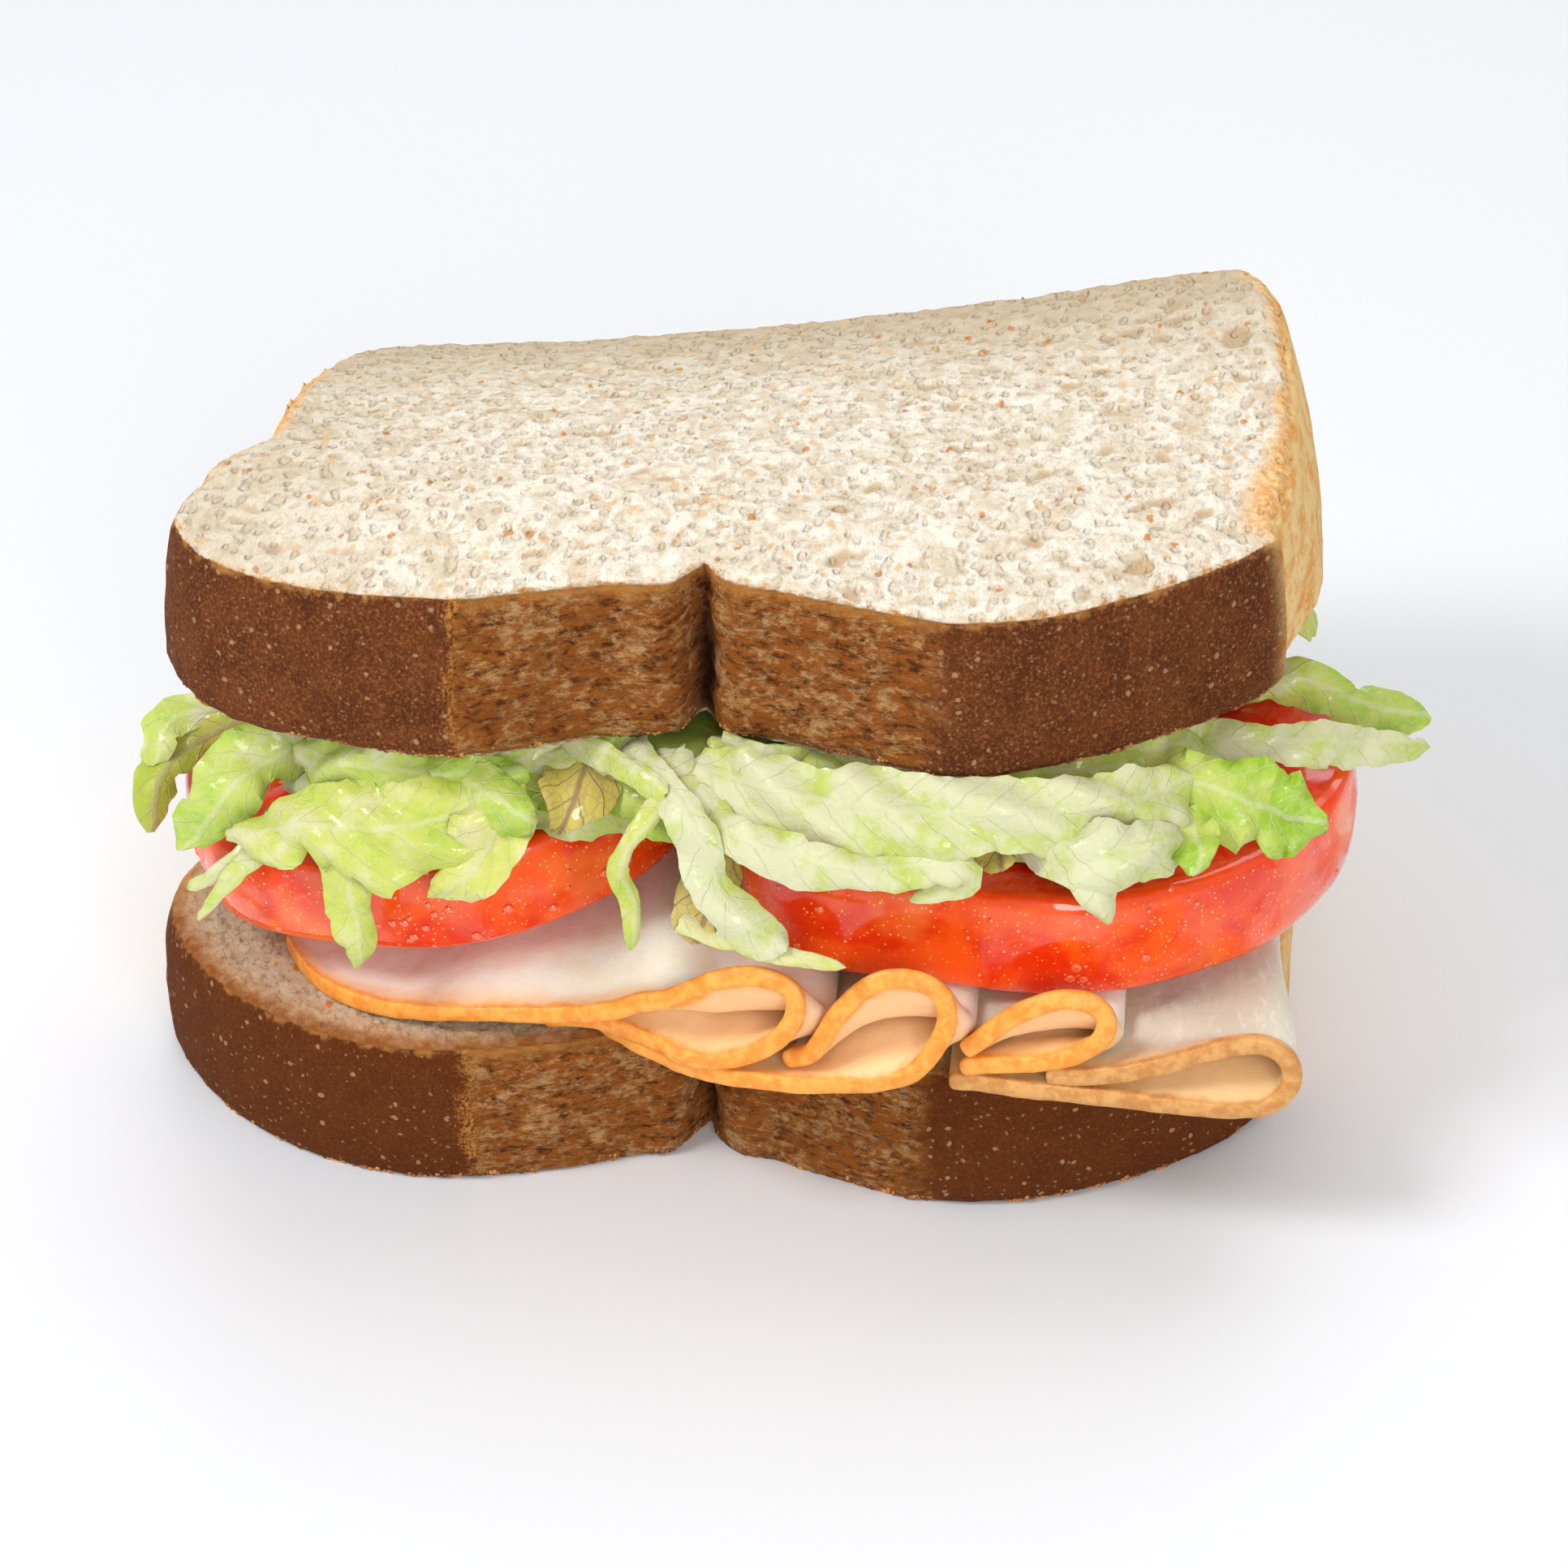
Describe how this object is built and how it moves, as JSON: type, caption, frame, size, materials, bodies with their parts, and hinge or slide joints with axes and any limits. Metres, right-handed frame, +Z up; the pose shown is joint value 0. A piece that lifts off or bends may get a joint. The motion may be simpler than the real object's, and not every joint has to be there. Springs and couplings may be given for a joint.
{
  "type": "turkey sandwich",
  "caption": "Turkey sandwich on sliced wheat bread, with folded turkey, thick tomato slices and torn lettuce showing between the slices.",
  "frame": {"origin": "middle of the bottom slice's flat underside, on the surface that the sandwich lies on", "axes": "+X to the right seen from the front, +Y to the back (away from the crown's split), +Z up"},
  "size_m": [0.1394, 0.1091, 0.0702],
  "materials": {
    "bread_bottom": "dry brown crust round a cream crumb with bran flecks",
    "bread_top": "dry brown crust round a cream crumb with bran flecks",
    "turkey": "moist pale meat with a golden edge",
    "tomato": "wet red skin with a paler cut face",
    "lettuce": "crisp pale green leaf with white ribs"
  },
  "bodies": {
    "root": {"bread_bottom": "bread_bottom", "bread_top": "bread_top", "turkey_1": "turkey", "turkey_2": "turkey", "turkey_3": "turkey", "turkey_4": "turkey", "tomato_left": "tomato", "tomato_right": "tomato", "lettuce": "lettuce"}
  },
  "joints": []
}
